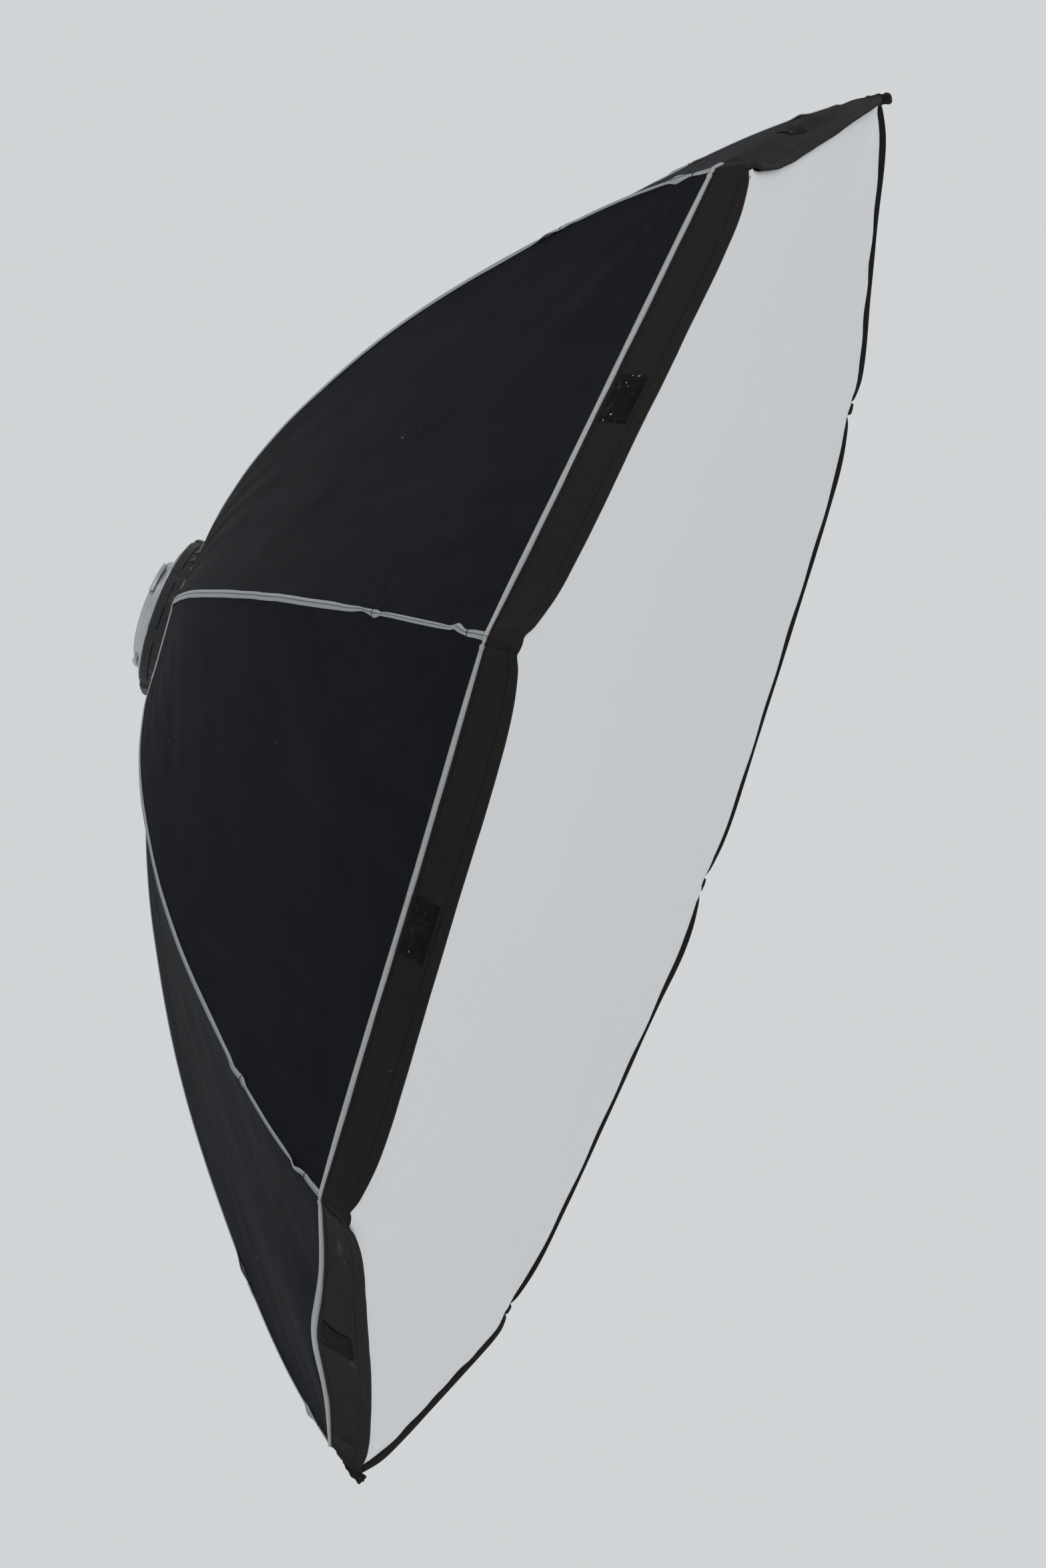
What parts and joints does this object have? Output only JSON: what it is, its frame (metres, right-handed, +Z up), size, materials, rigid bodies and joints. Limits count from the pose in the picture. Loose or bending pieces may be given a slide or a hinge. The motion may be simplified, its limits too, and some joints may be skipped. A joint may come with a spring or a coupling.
{
  "type": "octagonal softbox",
  "caption": "Octagonal folding softbox for a studio flash: ribbed black fabric box, white front diffuser, inner baffle, and a turning speed ring with hinged rods and a bayonet insert.",
  "frame": {"origin": "on the optical axis, in the insert's rear face that seats on the flash head", "axes": "-Y is the direction of the light, towards the front diffuser; +Z up, through one corner of the octagon; +X to the right when looking along +Y"},
  "size_m": [1.42, 0.4937, 1.42],
  "materials": {
    "shell_fabric": "matte",
    "lip_fabric": "matte",
    "pocket_fabric": "matte",
    "binding_tape": "satin",
    "hook_tape": "matte",
    "hem_fabric": "matte",
    "diffuser_fabric": "matte",
    "baffle_fabric": "matte",
    "elastic_cord": "matte",
    "loop_wire": "black oxide",
    "insert_alloy": "machined",
    "ring_metal": "satin black",
    "glide_plastic": "satin",
    "steel": "satin",
    "socket_plastic": "moulded",
    "catch_plastic": "moulded",
    "knob_plastic": "moulded",
    "rod_steel": "black coated",
    "tip_rubber": "matte"
  },
  "bodies": {
    "bayonet_insert": {"bayonet_flange": "insert_alloy", "bearing_ring": "ring_metal", "glide_ring": "glide_plastic", "insert_screws": "steel"},
    "speed_ring": {"rotating_ring": "ring_metal", "hinge_pins": "steel", "lock_bush": "steel", "shell_panel_1": "shell_fabric", "shell_panel_2": "shell_fabric", "shell_panel_3": "shell_fabric", "shell_panel_4": "shell_fabric", "shell_panel_5": "shell_fabric", "shell_panel_6": "shell_fabric", "shell_panel_7": "shell_fabric", "shell_panel_8": "shell_fabric", "seam_binding": "binding_tape", "rim_piping": "binding_tape", "hub_piping": "binding_tape", "lip_band": "lip_fabric", "corner_pockets": "pocket_fabric", "grid_patches": "hook_tape", "loop_tape": "hook_tape", "baffle_loops": "loop_wire"},
    "lock_knob": {"lock_knob": "knob_plastic"},
    "rod_arm_1": {"rod_1": "rod_steel", "rod_tip_1": "tip_rubber", "rod_socket_1": "socket_plastic"},
    "catch_1": {"rod_catch_1": "catch_plastic"},
    "rod_arm_2": {"rod_2": "rod_steel", "rod_tip_2": "tip_rubber", "rod_socket_2": "socket_plastic"},
    "catch_2": {"rod_catch_2": "catch_plastic"},
    "rod_arm_3": {"rod_3": "rod_steel", "rod_tip_3": "tip_rubber", "rod_socket_3": "socket_plastic"},
    "catch_3": {"rod_catch_3": "catch_plastic"},
    "rod_arm_4": {"rod_4": "rod_steel", "rod_tip_4": "tip_rubber", "rod_socket_4": "socket_plastic"},
    "catch_4": {"rod_catch_4": "catch_plastic"},
    "rod_arm_5": {"rod_5": "rod_steel", "rod_tip_5": "tip_rubber", "rod_socket_5": "socket_plastic"},
    "catch_5": {"rod_catch_5": "catch_plastic"},
    "rod_arm_6": {"rod_6": "rod_steel", "rod_tip_6": "tip_rubber", "rod_socket_6": "socket_plastic"},
    "catch_6": {"rod_catch_6": "catch_plastic"},
    "rod_arm_7": {"rod_7": "rod_steel", "rod_tip_7": "tip_rubber", "rod_socket_7": "socket_plastic"},
    "catch_7": {"rod_catch_7": "catch_plastic"},
    "rod_arm_8": {"rod_8": "rod_steel", "rod_tip_8": "tip_rubber", "rod_socket_8": "socket_plastic"},
    "catch_8": {"rod_catch_8": "catch_plastic"},
    "diffuser": {"front_diffuser": "diffuser_fabric", "diffuser_hem": "hem_fabric"},
    "baffle": {"inner_baffle": "baffle_fabric", "baffle_cords": "elastic_cord"}
  },
  "joints": [
    {"name": "ring_turn", "type": "hinge", "parent": "bayonet_insert", "child": "speed_ring", "pos_m": [0, 0, 0], "axis": [0, 1, 0], "continuous": true},
    {"name": "rod_fold_1", "type": "hinge", "parent": "speed_ring", "child": "rod_arm_1", "pos_m": [0, -0.03461, 0.08799], "axis": [1, 0, 0], "range_deg": [0, 50], "deforming": ["corner_pockets"]},
    {"name": "rod_fold_2", "type": "hinge", "parent": "speed_ring", "child": "rod_arm_2", "pos_m": [-0.06222, -0.03461, 0.06222], "axis": [0.7071, 0, 0.7071], "range_deg": [0, 50]},
    {"name": "rod_fold_3", "type": "hinge", "parent": "speed_ring", "child": "rod_arm_3", "pos_m": [-0.08799, -0.03461, 0], "axis": [0, 0, 1], "range_deg": [0, 50]},
    {"name": "rod_fold_4", "type": "hinge", "parent": "speed_ring", "child": "rod_arm_4", "pos_m": [-0.06222, -0.03461, -0.06222], "axis": [-0.7071, 0, 0.7071], "range_deg": [0, 50]},
    {"name": "rod_fold_5", "type": "hinge", "parent": "speed_ring", "child": "rod_arm_5", "pos_m": [0, -0.03461, -0.08799], "axis": [-1, 0, 0], "range_deg": [0, 50]},
    {"name": "rod_fold_6", "type": "hinge", "parent": "speed_ring", "child": "rod_arm_6", "pos_m": [0.06222, -0.03461, -0.06222], "axis": [-0.7071, 0, -0.7071], "range_deg": [0, 50]},
    {"name": "rod_fold_7", "type": "hinge", "parent": "speed_ring", "child": "rod_arm_7", "pos_m": [0.08799, -0.03461, 0], "axis": [0, 0, -1], "range_deg": [0, 50]},
    {"name": "rod_fold_8", "type": "hinge", "parent": "speed_ring", "child": "rod_arm_8", "pos_m": [0.06222, -0.03461, 0.06222], "axis": [0.7071, 0, -0.7071], "range_deg": [0, 50]},
    {"name": "catch_slide_1", "type": "slide", "parent": "rod_arm_1", "child": "catch_1", "axis": [0, -0.2079, 0.9781], "range_m": [0, 0.005]},
    {"name": "catch_slide_2", "type": "slide", "parent": "rod_arm_2", "child": "catch_2", "axis": [-0.6917, -0.2079, 0.6917], "range_m": [0, 0.005]},
    {"name": "catch_slide_3", "type": "slide", "parent": "rod_arm_3", "child": "catch_3", "axis": [-0.9781, -0.2079, 0], "range_m": [0, 0.005]},
    {"name": "catch_slide_4", "type": "slide", "parent": "rod_arm_4", "child": "catch_4", "axis": [-0.6917, -0.2079, -0.6917], "range_m": [0, 0.005]},
    {"name": "catch_slide_5", "type": "slide", "parent": "rod_arm_5", "child": "catch_5", "axis": [0, -0.2079, -0.9781], "range_m": [0, 0.005]},
    {"name": "catch_slide_6", "type": "slide", "parent": "rod_arm_6", "child": "catch_6", "axis": [0.6917, -0.2079, -0.6917], "range_m": [0, 0.005]},
    {"name": "catch_slide_7", "type": "slide", "parent": "rod_arm_7", "child": "catch_7", "axis": [0.9781, -0.2079, 0], "range_m": [0, 0.005]},
    {"name": "catch_slide_8", "type": "slide", "parent": "rod_arm_8", "child": "catch_8", "axis": [0.6917, -0.2079, 0.6917], "range_m": [0, 0.005]},
    {"name": "knob_turn", "type": "hinge", "parent": "speed_ring", "child": "lock_knob", "pos_m": [0.08315, -0.011, 0.03444], "axis": [0.9239, 0, 0.3827], "range_deg": [0, 270]},
    {"name": "diffuser_off", "type": "slide", "parent": "speed_ring", "child": "diffuser", "axis": [0, -1, 0], "range_m": [0, 0.9]},
    {"name": "baffle_off", "type": "slide", "parent": "speed_ring", "child": "baffle", "axis": [0, -1, 0], "range_m": [0, 0.85]}
  ],
  "couplings": [
    {"joint": "rod_fold_2", "follows": "rod_fold_1", "ratio": 1},
    {"joint": "rod_fold_3", "follows": "rod_fold_1", "ratio": 1},
    {"joint": "rod_fold_4", "follows": "rod_fold_1", "ratio": 1},
    {"joint": "rod_fold_5", "follows": "rod_fold_1", "ratio": 1},
    {"joint": "rod_fold_6", "follows": "rod_fold_1", "ratio": 1},
    {"joint": "rod_fold_7", "follows": "rod_fold_1", "ratio": 1},
    {"joint": "rod_fold_8", "follows": "rod_fold_1", "ratio": 1},
    {"joint": "diffuser_off", "follows": "rod_fold_1", "m_per_rad": 1},
    {"joint": "baffle_off", "follows": "rod_fold_1", "m_per_rad": 0.95}
  ]
}
